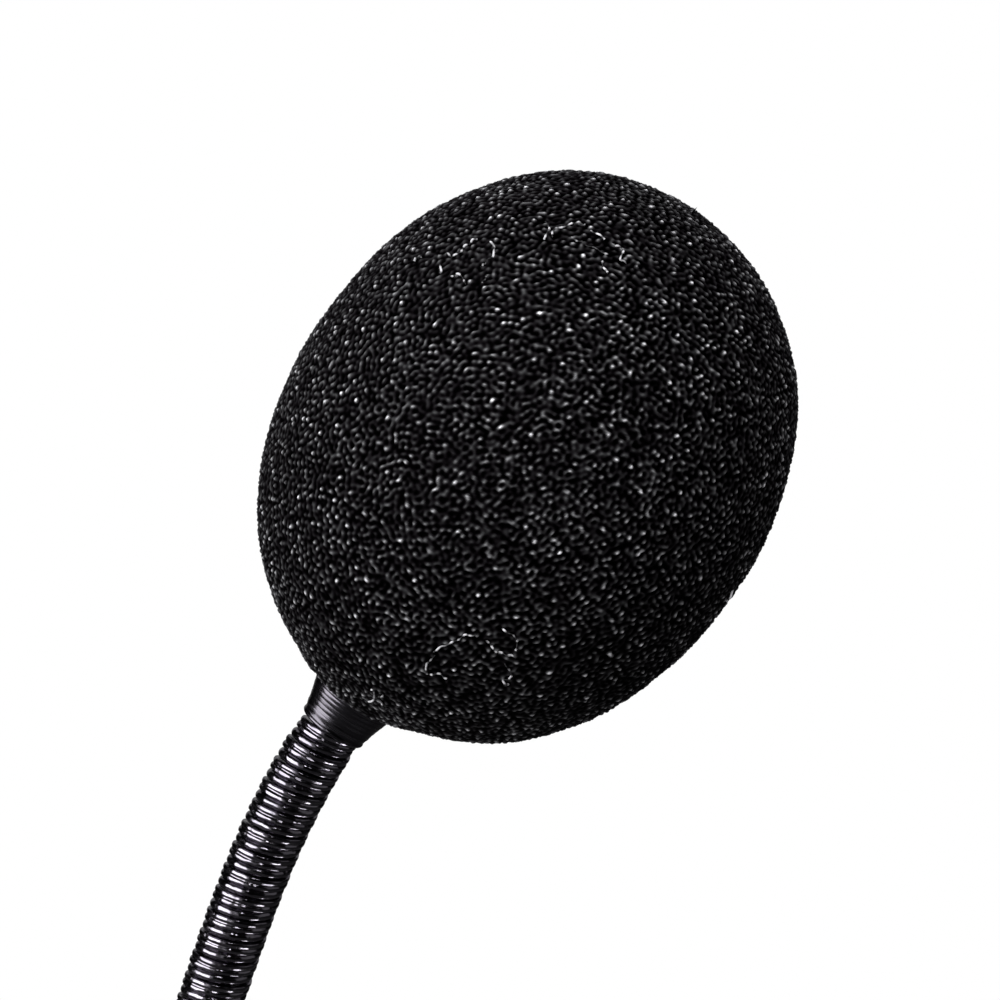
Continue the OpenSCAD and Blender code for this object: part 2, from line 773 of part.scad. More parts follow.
// Half outline of the foam: a superellipse from its lower end to its upper one
function foam_outline() = [
    for (k = [0 : foam_points])
        let (a = -90 + 180 * k / foam_points, c = max(0, cos(a)))
            [foam_d / 2 * pow(c, 2 / foam_power),
             foam_h / 2 * sign(a) * pow(abs(sin(a)), 2 / foam_power)]
];

module foam_windscreen() {
    color(black_foam) at_head() difference() {
        translate([foam_offset, 0, foam_centre]) rotate_extrude() polygon(foam_outline());
        cylinder(r = foam_pocket_r, h = foam_pocket_top);
    }
}

plug_shell();
xlr_insert();
xlr_pin(1);  // xlr_pin_1
xlr_pin(2);  // xlr_pin_2
xlr_pin(3);  // xlr_pin_3
earth_spring();
insert_screw();
preamp_barrel();
insulating_sleeve();
preamp_board();
board_chips();
board_capacitors();
board_inductor();
board_leads();
cable_grommet();
neck_bushing();
grub_screw();
neck_ferrule();
ferrule_ring();
for (i = [1 : neck_lengths]) {
    outer_coil(i);
    inner_coil(i);
    mic_cable(i);
}
head_collar();
capsule_housing();
housing_grille();
grille_cloth();
capsule_can();
capsule_diaphragm();
capsule_backplate();
capsule_board();
capsule_boot();
capsule_leads();
foam_windscreen();
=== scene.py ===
"""Looks of the gooseneck podium microphone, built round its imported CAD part. Metres, +Z up.

The foam, the collar, the neck's two wires and its cable are modelled here. The other pieces are
copies of their CAD pieces with rounded edges. All materials are procedural.
"""
import json
from math import cos, pi, radians, sin

import bmesh
import bpy
import numpy as np
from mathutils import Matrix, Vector


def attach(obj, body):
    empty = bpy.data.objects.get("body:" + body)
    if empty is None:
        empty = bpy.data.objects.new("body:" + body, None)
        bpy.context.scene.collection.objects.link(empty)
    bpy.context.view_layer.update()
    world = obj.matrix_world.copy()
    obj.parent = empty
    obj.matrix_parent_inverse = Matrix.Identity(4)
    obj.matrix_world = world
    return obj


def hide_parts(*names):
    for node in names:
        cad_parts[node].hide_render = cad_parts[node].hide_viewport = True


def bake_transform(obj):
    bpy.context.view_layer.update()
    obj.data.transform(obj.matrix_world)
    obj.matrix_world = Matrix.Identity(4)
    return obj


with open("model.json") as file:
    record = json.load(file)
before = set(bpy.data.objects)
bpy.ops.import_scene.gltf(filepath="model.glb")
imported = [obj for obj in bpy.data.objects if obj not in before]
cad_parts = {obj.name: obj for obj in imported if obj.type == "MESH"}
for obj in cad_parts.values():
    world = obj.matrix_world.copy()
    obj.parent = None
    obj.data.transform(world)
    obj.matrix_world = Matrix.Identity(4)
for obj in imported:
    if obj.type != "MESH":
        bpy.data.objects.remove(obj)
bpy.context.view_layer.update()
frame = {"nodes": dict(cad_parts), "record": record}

NODES = frame["nodes"]
MM = 0.001

# Neck, as in the CAD: a straight foot, a slow lean and a crook under the head
NECK_FOOT_Z = 0.10133         # height of the neck's foot
TURN_PITCH = 0.00294          # from one turn of a wire to the next
LENGTHS = 10                  # rigid lengths, with a hinge between each two
LENGTH_L = 10 * TURN_PITCH    # each holds ten turns
NECK_L = LENGTHS * LENGTH_L
STRAIGHT_L = 0.085            # how far up the neck is straight
CROOK_L = 0.035               # length of the crook under the head
CROOK_LEAN = radians(18.3)    # lean from the vertical where the crook starts
HEAD_LEAN = radians(34.1)     # lean at the crook's end, and the head's
CROOK_POWER = 1.8             # above 1, the crook bends more the nearer it is to the head
CENTRELINE_STEPS = 6000       # steps in which the centreline is summed up

# The neck's wires and cable
NECK_R = 4.12 * MM            # outside radius of the wide wire
NARROW_TOP = 4.04 * MM        # outside radius of the narrow wire between the wide one's turns
NARROW_R = 0.72 * MM          # radius of the narrow wire itself
WIRE_STEPS = 56               # steps in one turn
UNEVEN_RISE = 0.012 * MM      # how unevenly the wires are wound, outwards
UNEVEN_SHIFT = 0.015 * MM     # the same along the neck
SHIFT_TURNS = 0.8             # turns from one rise or shift to the next
UNEVEN_ROLL = radians(2.2)    # how far the wires roll to either side
ROLL_TURNS = 0.3              # turns from one roll to the next
ROLL_R = 3.4 * MM             # radius of the line that the wires roll about
DRAWN_IN = 0.24 * MM          # how far the last turn is drawn in under the collar
DRAWN_FROM = 1.4 * TURN_PITCH     # how far from the neck's end that starts
DRAWN_TO = 0.3 * TURN_PITCH       # and is complete
CABLE_R = 1.6 * MM
CABLE_FOOT_Z = 0.0805         # height of the cable's end inside the barrel
CABLE_END = 0.0124            # how far the cable runs on into the head

# Collar, as (radius, height) points in mm from its lower edge: the bead at its foot, the flare,
# and the boss that goes up into the housing and down into the coil
COLLAR_BEAD = [(3.5, -0.15), (3.98, -0.15), (4.18, -0.08), (4.31, 0.08), (4.33, 0.26), (4.26, 0.44),
               (4.27, 0.65), (4.38, 1.0)]
COLLAR_FLARE = [(4.5, 1.3), (4.55, 1.75), (4.72, 2.35), (4.9, 3.0), (5.1, 3.6), (5.27, 4.2),
                (5.42, 4.75), (5.5, 5.4)]
COLLAR_BOSS = [(5.5, 5.4), (4.91, 5.4), (4.91, 9.3), (4.8, 9.4), (1.85, 9.4), (1.75, 9.3),
               (1.75, -3.9), (1.85, -4.0), (2.2, -4.0), (2.3, -3.9), (2.3, -0.15)]
RING_DEPTH = 0.026            # depth of the rings turned in the flare, in mm

# Foam, measured along the head's axis from the collar's lower edge
FOAM_R = 30.45 * MM
FOAM_HALF_H = 36.9 * MM
FOAM_POWER = 2.09             # 2 is an ellipsoid, and more is fuller at the shoulders
FOAM_OFFSET = 0.5 * MM        # from the head's axis to the foam's
FOAM_CENTRE = 41.9 * MM
FOAM_GRID = 300               # steps along each side of the cube that the foam is blown up from
POCKET_R = 5.8 * MM
POCKET_TOP = 41.7 * MM
LIP_R = 6.6 * MM              # radius of the lip round the pocket's mouth
LIP_ROUND = 0.8 * MM          # rounding of the lip
LIP_DROP = 0.8 * MM           # how far the lip hangs
LIP_SPREAD = 3 * MM           # how wide a ring of foam hangs with it
TOP_END = 0.25                # where the pocket's flat top ends, from 0 at its centre to 1 at the lip
WALL_END = 0.8                # where the pocket's wall ends, in the same way
CELL = 0.81 * MM              # distance between the foam's strands
STRAND_H = 0.095 * MM         # how far a strand of mean size stands out
STRANDS_SUNK = 0.26 * MM      # how far the strands' middle lies under the foam's outline
LUMP = 13 * MM                # distance between the foam's broad lumps
LUMP_H = 0.08 * MM            # their height
CROWN_SUNK = 0.3 * MM         # how much the foam's top is flattened
# the strands' tips are painted lighter than this and the hollows darker: painted highlights and
# painted shade
STRAND_LIGHT = 0.0038         # lightness of a strand at its middle height

# Stray fibres caught on the foam: angles in degrees from its lower pole and round its axis
FIBRES = [
    [(138.5, -143), (138, -139), (135.5, -136.5)],
    [(137, -135), (138.5, -137.5), (142.5, -136.5), (145, -133.5)],
    [(145, -130), (145.5, -123)],
    [(146, -118), (146.5, -114.5), (144, -112.5), (144, -109.5)],
    [(140, -131), (141, -127), (141.5, -123.5), (143, -117)],
    [(141, -116.5), (140, -115.5), (139, -112)],
    [(126.5, -147), (126.5, -144), (125, -141.5), (123, -141), (122, -140.5)],
    [(118.5, -152.5), (119, -150), (121.5, -150.5), (123.5, -151), (125, -151)],
    [(116, -145), (117.5, -143), (117, -139)],
    [(112.5, -159.5), (114, -159)],
    [(116, -150.5), (115, -148)],
    [(121, -137), (119.5, -136)],
    [(56, -88), (52.5, -88), (50.5, -85.5), (52, -84), (52.5, -81)],
    [(57, -89), (59.5, -88), (62, -86.5), (64.5, -85.5), (66, -83)],
    [(66, -80.5), (65, -76.5), (65.5, -74), (66, -71.5)],
    [(70, -79.5), (70, -76.5), (69.5, -74.5), (67.5, -73)],
    [(63.5, -72.5), (62, -69), (61, -68), (59.5, -69), (59, -66.5)],
    [(34, -96), (31, -92), (29.5, -86.5), (29, -82.5)],
    [(24.5, -93.5), (31, -92), (34.5, -91)],
    [(91, -20), (93.5, -18)],
]
FIBRE_R = 0.05 * MM
BEAD_R = 0.08 * MM            # how much a bead adds to a fibre's radius
BEAD_GAP = 0.75 * MM          # from one bead to the next

# Rounding of the edges of the pieces that keep their CAD shape: its width in mm and its steps
ROUNDED = {
    "plug_shell": (0.12, 3), "preamp_barrel": (0.12, 3), "neck_ferrule": (0.18, 3),
    "xlr_insert": (0.15, 2), "xlr_pin_1": (0.08, 3), "xlr_pin_2": (0.08, 3), "xlr_pin_3": (0.08, 3),
    "earth_spring": (0.06, 2), "insert_screw": (0.06, 2), "grub_screw": (0.08, 2),
    "capsule_housing": (0.08, 2), "housing_grille": (0.1, 2), "capsule_boot": (0.15, 2),
    "capsule_can": (0.08, 2), "cable_grommet": (0.15, 2), "neck_bushing": (0.12, 2),
    "board_capacitors": (0.25, 3), "board_inductor": (0.15, 2), "board_chips": (0.06, 2),
    "preamp_board": (0.05, 2), "insulating_sleeve": (0.05, 2), "board_leads": (0.04, 2),
    "capsule_board": (0.04, 2), "capsule_backplate": (0.03, 2), "capsule_leads": (0.04, 2),
    "ferrule_ring": (0.05, 2),
}


# ---------------------------------------------------------------- geometry helpers

def smoothstep(x, low, high):
    """0 below low, 1 above high and a smooth ramp between, for arrays."""
    t = np.clip((x - low) / (high - low), 0, 1)
    return t * t * (3 - 2 * t)


def waves(points, size, salt, count=24, spread=0.4):
    """A smooth random field of unit spread, whose features repeat about every size. The salt
    picks the field, count is how many waves it sums and spread how much their lengths differ."""
    rng = np.random.default_rng(salt)
    total = np.zeros(len(points))
    for _ in range(count):
        direction = rng.normal(size=3)
        direction *= 2 * pi / size * rng.uniform(1 - spread, 1 + spread) / np.linalg.norm(direction)
        total += np.sin(points @ direction + rng.uniform(0, 2 * pi))
    return total * (2 / count) ** 0.5


def through(points, steps=14):
    """A smooth curve through the points."""
    points = np.asarray(points, float)
    ends = np.concatenate([[2 * points[0] - points[1]], points, [2 * points[-1] - points[-2]]])
    t = np.arange(steps)[:, None] / steps
    parts = [0.5 * (2 * b + (c - a) * t + (2 * a - 5 * b + 4 * c - d) * t ** 2
                    + (3 * b - a - 3 * c + d) * t ** 3)
             for a, b, c, d in zip(ends, ends[1:], ends[2:], ends[3:])]
    return np.concatenate(parts + [points[-1:]])


def new_object(name, mesh):
    """A new object in the scene that shows the mesh."""
    made = bpy.data.objects.new(name, mesh)
    bpy.context.scene.collection.objects.link(made)
    return made


def shade_smooth(mesh, sharp_angle):
    """Shades the mesh smooth, except along edges sharper than the angle in degrees."""
    mesh.polygons.foreach_set("use_smooth", [True] * len(mesh.polygons))
    mesh.set_sharp_from_angle(angle=radians(sharp_angle))


def new_piece(name, points, faces, sharp_angle=40):
    """A mesh object from points and faces, smooth except along its sharp edges."""
    mesh = bpy.data.meshes.new(name)
    mesh.from_pydata([tuple(p) for p in points], [], [tuple(f) for f in faces])
    shade_smooth(mesh, sharp_angle)
    mesh.update()
    return new_object(name, mesh)


def dress(piece, material, body=None, replaces=()):
    """Gives a piece its material and its body, and hides the CAD nodes it stands for."""
    piece.data.materials.clear()
    piece.data.materials.append(material)
    if replaces:
        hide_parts(*replaces)
    if body:
        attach(piece, body)
    return piece


def tube_walls(rings, sides):
    """Quads between rings that each have that many points, one after the other."""
    return [(r * sides + k, r * sides + (k + 1) % sides, (r + 1) * sides + (k + 1) % sides,
             (r + 1) * sides + k) for r in range(rings - 1) for k in range(sides)]


def lathe(name, profile, sides, to_frame, sharp_angle):
    """A turned piece from a closed profile of (radius, height) points, put in place by to_frame."""
    profile = np.array(profile, float)
    turn = np.arange(sides) * 2 * pi / sides
    points = np.stack([np.outer(profile[:, 0], np.cos(turn)), np.outer(profile[:, 0], np.sin(turn)),
                       np.repeat(profile[:, 1:], sides, 1)], -1).reshape(-1, 3)
    count = len(profile)
    last = (count - 1) * sides
    closing = [(last + k, last + (k + 1) % sides, (k + 1) % sides, k) for k in range(sides)]
    return new_piece(name, to_frame(points), tube_walls(count, sides) + closing, sharp_angle)


def tube(name, path, radius, sides):
    """A round tube along a path, with a radius or one for each point, and flat ends."""
    path = np.asarray(path, float)
    ahead = np.gradient(path, axis=0)
    ahead /= np.linalg.norm(ahead, axis=1, keepdims=True)
    turn = np.arange(sides) * 2 * pi / sides
    no_path_starts_so = (0.2, 0.9, 0.4)
    side = np.cross(ahead[0], no_path_starts_so)
    rings = []
    for point, direction, r in zip(path, ahead, np.broadcast_to(radius, len(path))):
        side = side - direction * (side @ direction)
        side /= np.linalg.norm(side)
        other = np.cross(direction, side)
        rings.append(point + r * (np.outer(np.cos(turn), side) + np.outer(np.sin(turn), other)))
    faces = tube_walls(len(path), sides)
    faces.append(tuple(reversed(range(sides))))
    faces.append(tuple(range((len(path) - 1) * sides, len(path) * sides)))
    return new_piece(name, np.concatenate(rings), faces)


def refined(node, edge, steps):
    """A copy of a CAD piece with its sharp edges rounded."""
    source = NODES[node].data
    name = node + "_part"
    mesh = bpy.data.meshes.new(name)
    mesh.from_pydata([v.co for v in source.vertices], [], [p.vertices for p in source.polygons])
    work = bmesh.new()
    work.from_mesh(mesh)
    bmesh.ops.remove_doubles(work, verts=work.verts, dist=1e-6)
    bmesh.ops.dissolve_limit(work, angle_limit=radians(0.5), verts=work.verts, edges=work.edges)
    sharp = [e for e in work.edges if len(e.link_faces) == 2 and e.calc_face_angle(0) > radians(30)]
    bmesh.ops.bevel(work, geom=sharp, offset=edge, segments=steps, profile=0.5,
                    affect="EDGES", clamp_overlap=True)
    bmesh.ops.recalc_face_normals(work, faces=work.faces)
    work.to_mesh(mesh)
    work.free()
    shade_smooth(mesh, 35)
    piece = new_object(name, mesh)
    piece.modifiers.new("even_shading", "WEIGHTED_NORMAL").keep_sharp = True
    shaded = piece.evaluated_get(bpy.context.evaluated_depsgraph_get())
    piece.data = bpy.data.meshes.new_from_object(shaded)
    piece.modifiers.clear()
    return piece


# ---------------------------------------------------------------- the neck's line

def neck_lean(s):
    """Lean of the centreline from the vertical at a distance s along the neck."""
    crook = np.clip((s - (NECK_L - CROOK_L)) / CROOK_L, 0, 1)
    slow = np.clip((s - STRAIGHT_L) / (NECK_L - CROOK_L - STRAIGHT_L), 0, 1)
    return CROOK_LEAN * slow + (HEAD_LEAN - CROOK_LEAN) * crook ** CROOK_POWER


# The centreline, summed up in short steps
LINE_S = np.linspace(0, NECK_L, CENTRELINE_STEPS + 1)
LINE_STEP = LINE_S[1] - LINE_S[0]
LINE_LEAN = neck_lean((LINE_S[1:] + LINE_S[:-1]) / 2)
LINE_X = np.concatenate([[0], np.cumsum(np.sin(LINE_LEAN)) * LINE_STEP])
LINE_Z = np.concatenate([[0], np.cumsum(np.cos(LINE_LEAN)) * LINE_STEP]) + NECK_FOOT_Z


def neck_point(s):
    """Centreline points and unit tangents at distances s, straight on past both ends."""
    s = np.asarray(s, float)
    inside = np.clip(s, 0, NECK_L)
    lean = neck_lean(inside)
    tangent = np.stack([np.sin(lean), np.zeros_like(lean), np.cos(lean)], -1)
    point = np.stack([np.interp(inside, LINE_S, LINE_X), np.zeros_like(s),
                      np.interp(inside, LINE_S, LINE_Z)], -1)
    return point + (s - inside)[..., None] * tangent, tangent


def neck_frame(s):
    """Centreline points and the directions across and along the neck at distances s."""
    point, tangent = neck_point(s)
    across = np.stack([tangent[..., 2], np.zeros(tangent.shape[:-1]), -tangent[..., 0]], -1)
    return point, across, tangent


HEAD_AT, HEAD_ACROSS, HEAD_AXIS = (v[0] for v in neck_frame(np.array([NECK_L])))
Y_AXIS = np.array([0, 1, 0])


def in_head(points):
    """Points given as (across, sideways, along) in the head's axes, in the frame's axes."""
    points = np.asarray(points, float)
    return (HEAD_AT + points[:, :1] * HEAD_ACROSS + points[:, 1:2] * Y_AXIS
            + points[:, 2:] * HEAD_AXIS)


# ---------------------------------------------------------------- materials

def add(tree, kind, inputs=None, **settings):
    """A node of that kind, with its settings and its inputs, each a value or another's output."""
    node = tree.nodes.new(kind)
    for key, value in settings.items():
        setattr(node, key, value)
    for key, value in (inputs or {}).items():
        if isinstance(value, bpy.types.NodeSocket):
            tree.links.new(value, node.inputs[key])
        else:
            node.inputs[key].default_value = value
    return node


def connect(tree, output, shader, name):
    """Feeds an output into the shader's input of that name."""
    tree.links.new(output, shader.inputs[name])


def fresh(name, roughness=0.5, metallic=0.0, specular=0.5, **more):
    """A new material, its node tree and its shader."""
    material = bpy.data.materials.new(name)
    material.use_nodes = True
    shader = material.node_tree.nodes["Principled BSDF"]
    shader.inputs["Roughness"].default_value = roughness
    shader.inputs["Metallic"].default_value = metallic
    shader.inputs["Specular IOR Level"].default_value = specular
    for key, value in more.items():
        shader.inputs[key.replace("_", " ")].default_value = value
    return material, material.node_tree, shader


def object_place(tree):
    """Where a point lies in its object, in metres."""
    return add(tree, "ShaderNodeTexCoord").outputs["Object"]


def noise(tree, at, scale, detail, roughness=0.55):
    """Soft noise from 0 to 1, with about scale features to the metre."""
    return add(tree, "ShaderNodeTexNoise", {"Vector": at, "Scale": scale, "Detail": detail,
                                            "Roughness": roughness}).outputs["Fac"]


def ramp(tree, value, stops):
    """A colour ramp of (position, colour) stops."""
    node = add(tree, "ShaderNodeValToRGB", {"Fac": value})
    elements = node.color_ramp.elements
    while len(elements) < len(stops):
        elements.new(0.5)
    for element, (position, colour) in zip(elements, stops):
        element.position = position
        element.color = (*colour, 1)
    return node.outputs["Color"]


def spread(tree, value, low, high, to_low, to_high):
    """The value's range from low to high, drawn out to another range."""
    return add(tree, "ShaderNodeMapRange", {"Value": value, "From Min": low, "From Max": high,
                                            "To Min": to_low, "To Max": to_high}).outputs["Result"]


def bump(tree, shader, height, distance, strength=1.0, under=None):
    """Feeds bumps of that height texture into the shader, on top of those under them if given."""
    inputs = {"Height": height, "Distance": distance, "Strength": strength}
    if under is not None:
        inputs["Normal"] = under
    made = add(tree, "ShaderNodeBump", inputs).outputs["Normal"]
    connect(tree, made, shader, "Normal")
    return made


def shade(colour, factor):
    """The colour made darker or lighter by a factor."""
    return tuple(factor * c for c in colour)


def foam_material():
    """Near-black foam; the geometry carries how light each point is: painted highlights on the
    strands' tips and painted shade in the hollows between them.
    """
    material, tree, shader = fresh("black_foam", roughness=0.9, specular=0.01)
    tone_and_painted_light = add(tree, "ShaderNodeAttribute", attribute_name="tone_and_painted_light").outputs["Fac"]
    light = spread(tree, tone_and_painted_light, 0, 0.02, 0, 1)
    tint = ramp(tree, light, [(0.0, (1.0, 0.76, 1.0)), (0.3, (0.98, 0.88, 1.0)),
                              (1.0, (0.96, 0.95, 1.0))])
    colour = add(tree, "ShaderNodeVectorMath", {0: tint, "Scale": tone_and_painted_light}, operation="SCALE")
    connect(tree, colour.outputs["Vector"], shader, "Base Color")
    return material


def wire_material(name, roughness):
    """Black nickel plated wire, a little scuffed and dented."""
    material, tree, shader = fresh(name, roughness=roughness, metallic=1.0)
    at = object_place(tree)
    stains = noise(tree, at, 420.0, 3)
    tone = ramp(tree, stains, [(0.3, (0.19, 0.175, 0.21)), (0.7, (0.30, 0.28, 0.32))])
    connect(tree, tone, shader, "Base Color")
    scuffs = noise(tree, at, 900.0, 4)
    rough = spread(tree, scuffs, 0.35, 0.7, roughness - 0.03, roughness + 0.12)
    connect(tree, rough, shader, "Roughness")
    dents = bump(tree, shader, noise(tree, at, 650.0, 1), 0.21 * MM)
    bump(tree, shader, noise(tree, at, 2600.0, 3), 0.012 * MM, 1.0, dents)
    return material


def satin_metal(name, colour, roughness, turned=False, lean=0.0):
    """Metal with a fine grain, drawn out round the piece's leaning axis if it is turned."""
    material, tree, shader = fresh(name, roughness=roughness, metallic=1.0)
    at = object_place(tree)
    stains = noise(tree, at, 160.0, 4)
    tone = ramp(tree, stains, [(0.3, shade(colour, 0.8)), (0.7, colour)])
    connect(tree, tone, shader, "Base Color")
    if turned:
        at = add(tree, "ShaderNodeMapping", {"Vector": at, "Rotation": (0, lean, 0),
                                             "Scale": (1, 1, 1 / 15)},
                 vector_type="TEXTURE").outputs["Vector"]
    rough = spread(tree, noise(tree, at, 300.0, 3), 0.3, 0.7, roughness - 0.06, roughness + 0.08)
    connect(tree, rough, shader, "Roughness")
    bump(tree, shader, noise(tree, at, 800.0, 2), 0.004 * MM, 0.3)
    return material


def powder_coat(name, colour, roughness):
    """Powder coat: a pebbled film, a little rubbed here and there."""
    material, tree, shader = fresh(name, roughness=roughness)
    at = object_place(tree)
    rubbed = noise(tree, at, 45.0, 5, 0.65)
    tone = ramp(tree, rubbed, [(0.35, shade(colour, 0.85)), (0.6, colour),
                               (0.72, shade(colour, 1.35))])
    connect(tree, tone, shader, "Base Color")
    rough = spread(tree, rubbed, 0.35, 0.7, roughness + 0.08, roughness - 0.07)
    connect(tree, rough, shader, "Roughness")
    pebbles = bump(tree, shader, noise(tree, at, 1300.0, 1), 0.05 * MM, 0.5)
    bump(tree, shader, noise(tree, at, 4500.0, 2), 0.008 * MM, 0.6, pebbles)
    return material


def matte(name, colour, roughness, grain, depth):
    """Moulded plastic, rubber or card: one colour with a fine uneven surface."""
    material, tree, shader = fresh(name, roughness=roughness)
    at = object_place(tree)
    stains = noise(tree, at, grain / 6, 4)
    tone = ramp(tree, stains, [(0.3, shade(colour, 0.75)), (0.7, colour)])
    connect(tree, tone, shader, "Base Color")
    bump(tree, shader, noise(tree, at, grain, 3), depth, 0.5)
    return material


def board_material():
    """Green solder mask with lighter copper tracks that run in squares round each other."""
    material, tree, shader = fresh("board_green", roughness=0.35)
    mask, copper = (0.012, 0.13, 0.055), (0.04, 0.25, 0.11)
    pads = add(tree, "ShaderNodeTexVoronoi", {"Vector": object_place(tree), "Scale": 170.0},
               distance="CHEBYCHEV")
    rings = add(tree, "ShaderNodeMath", {0: pads.outputs["Distance"], 1: 7.0},
                operation="MULTIPLY").outputs[0]
    across = add(tree, "ShaderNodeMath", {0: rings}, operation="FRACT").outputs[0]
    tracks = ramp(tree, across, [(0.50, mask), (0.56, copper), (0.90, copper), (0.96, mask)])
    connect(tree, tracks, shader, "Base Color")
    bump(tree, shader, tracks, 0.03 * MM, 0.4)
    return material


def cloth_material():
    """Fine black woven cloth, with painted shade in the gaps between its threads."""
    material, tree, shader = fresh("acoustic_cloth", roughness=0.8, Sheen_Weight=0.2)
    weave = add(tree, "ShaderNodeTexVoronoi", {"Vector": object_place(tree), "Scale": 5000.0,
                                               "Randomness": 0.1}).outputs["Distance"]
    # The gaps are darker than the threads: painted shade.
    thread, gap_shade = (0.05, 0.05, 0.05), (0.008, 0.008, 0.008)
    tone = ramp(tree, weave, [(0.1, thread), (0.6, gap_shade)])
    connect(tree, tone, shader, "Base Color")
    bump(tree, shader, weave, -0.05 * MM, 0.6)
    return material


# One material for each of the record's material slots
MATERIALS = {
    "foam": foam_material(),
    "neck_outer_wire": wire_material("wide_wire", 0.13),
    "neck_inner_wire": wire_material("narrow_wire", 0.13),
    "black_metal": powder_coat("black_powder_coat", (0.026, 0.026, 0.028), 0.36),
    "housing": satin_metal("black_anodised", (0.12, 0.113, 0.13), 0.22, turned=True, lean=HEAD_LEAN),
    "black_plastic": matte("black_plastic", (0.03, 0.03, 0.03), 0.45, 2500.0, 0.02 * MM),
    "rubber": matte("black_rubber", (0.02, 0.02, 0.02), 0.7, 1800.0, 0.03 * MM),
    "pins": satin_metal("silver_plate", (0.82, 0.80, 0.76), 0.22),
    "bright_steel": satin_metal("bare_steel", (0.62, 0.62, 0.63), 0.3, turned=True),
    "cloth": cloth_material(),
    "board": board_material(),
    "sleeve": matte("insulating_sheet", (0.82, 0.80, 0.72), 0.6, 900.0, 0.02 * MM),
    "cable": matte("cable_sheath", (0.025, 0.025, 0.026), 0.5, 1500.0, 0.02 * MM),
    "copper": satin_metal("copper_wire", (0.80, 0.45, 0.28), 0.3),
    "capsule_metal": satin_metal("bare_aluminium", (0.78, 0.78, 0.79), 0.32),
    "film": satin_metal("gold_film", (0.90, 0.70, 0.30), 0.15),
}


# ---------------------------------------------------------------- neck

def mirrored(half):
    """A closed section from the half of it above its middle, which is given from crown to root."""
    return [(r, -h) for r, h in half[::-1]] + half


def wide_profile():
    """The wide wire's section as (radius, height) points: two low ridges with a groove between
    them, and flanks that draw in to the root."""
    ridge_at = 0.39 * MM
    groove_r, shoulder_r = 0.34 * MM, 0.9 * MM
    groove = (NECK_R - 0.135 * MM, 0.03 * MM)
    crown = []
    for h in np.linspace(0.12, 0.69, 12) * MM:
        bend_r = groove_r if h < ridge_at else shoulder_r
        crown.append((NECK_R - (h - ridge_at) ** 2 / 2 / bend_r, h))
    flank = [(NECK_R - 0.12 * MM, 0.745 * MM), (3.75 * MM, 0.76 * MM), (3.5 * MM, 0.74 * MM),
             (3.3 * MM, 0.71 * MM), (2.6 * MM, 0.45 * MM)]
    return mirrored([groove] + crown + flank)


def narrow_profile():
    """The narrow wire's section: round, and it bears on the wide wire's flanks."""
    angles = np.radians(np.linspace(3, 171, 22))
    return mirrored([(NARROW_TOP - NARROW_R * (1 - cos(a)), NARROW_R * sin(a)) for a in angles])


def helix(name, profile, start, end, phase):
    """A right-handed wire round the neck from one distance along it to another."""
    profile = np.array(profile)
    count = max(2, int(round((end - start) / TURN_PITCH * WIRE_STEPS)) + 1)
    s = np.linspace(start, end, count)
    turn = phase + 2 * pi * s / TURN_PITCH
    point, across, tangent = neck_frame(s)
    out = np.cos(turn)[:, None] * across + np.sin(turn)[:, None] * Y_AXIS
    at = np.stack([s / TURN_PITCH, np.full(count, phase), np.zeros(count)], -1)
    rise = UNEVEN_RISE * waves(at, SHIFT_TURNS, salt=41, count=16, spread=0.7)
    rise -= DRAWN_IN * smoothstep(s, NECK_L - DRAWN_FROM, NECK_L - DRAWN_TO)
    shift = UNEVEN_SHIFT * waves(at, SHIFT_TURNS, salt=42, count=16, spread=0.7)
    roll = UNEVEN_ROLL * waves(at, ROLL_TURNS, salt=43, spread=0.5)[:, None]
    radius = profile[:, 0] - profile[:, 1] * roll + rise[:, None]
    height = profile[:, 1] + (profile[:, 0] - ROLL_R) * roll + shift[:, None]
    points = (point[:, None] + radius[..., None] * out[:, None]
              + height[..., None] * tangent[:, None]).reshape(-1, 3)
    sides = len(profile)
    faces = [(r * sides + k, (r + 1) * sides + k, (r + 1) * sides + (k + 1) % sides,
              r * sides + (k + 1) % sides) for r in range(count - 1) for k in range(sides)]
    faces.append(tuple(range(sides)))
    faces.append(tuple(reversed(range((count - 1) * sides, count * sides))))
    return new_piece(name, points, faces, sharp_angle=50)


def cable_run(name, start, end):
    """The cable along the neck's line from one distance to another."""
    path, _ = neck_point(np.linspace(start, end, int((end - start) / MM) + 2))
    return tube(name, path, CABLE_R, sides=16)


def build_neck():
    """Both wires and the cable, each cut at the middle of every rigid length, so that each piece
    runs across the hinge between."""
    cuts = [0.0] + [(i + 0.5) * LENGTH_L for i in range(LENGTHS)] + [NECK_L]
    cable_cuts = [CABLE_FOOT_Z - NECK_FOOT_Z] + cuts[1:-1] + [NECK_L + CABLE_END]
    wide, narrow = wide_profile(), narrow_profile()
    half_turn = TURN_PITCH / 2
    for i in range(LENGTHS + 1):
        start, end = cuts[i], cuts[i + 1]
        narrow_start, narrow_end = max(start, half_turn), min(end, NECK_L - half_turn)
        made = [
            (helix(f"outer_wire_{i}", wide, start, end, 0.0), "neck_outer_wire", "outer_coil"),
            (helix(f"inner_wire_{i}", narrow, narrow_start, narrow_end, pi), "neck_inner_wire",
             "inner_coil"),
            (cable_run(f"cable_run_{i}", cable_cuts[i], cable_cuts[i + 1]), "cable", "mic_cable"),
        ]
        for piece, slot, node in made:
            dress(piece, MATERIALS[slot], replaces=[f"{node}_{min(i + 1, LENGTHS)}"])
            if i == 0:
                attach(piece, "base")
            elif i == LENGTHS:
                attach(piece, "head")
            else:
                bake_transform(piece)


# ---------------------------------------------------------------- head

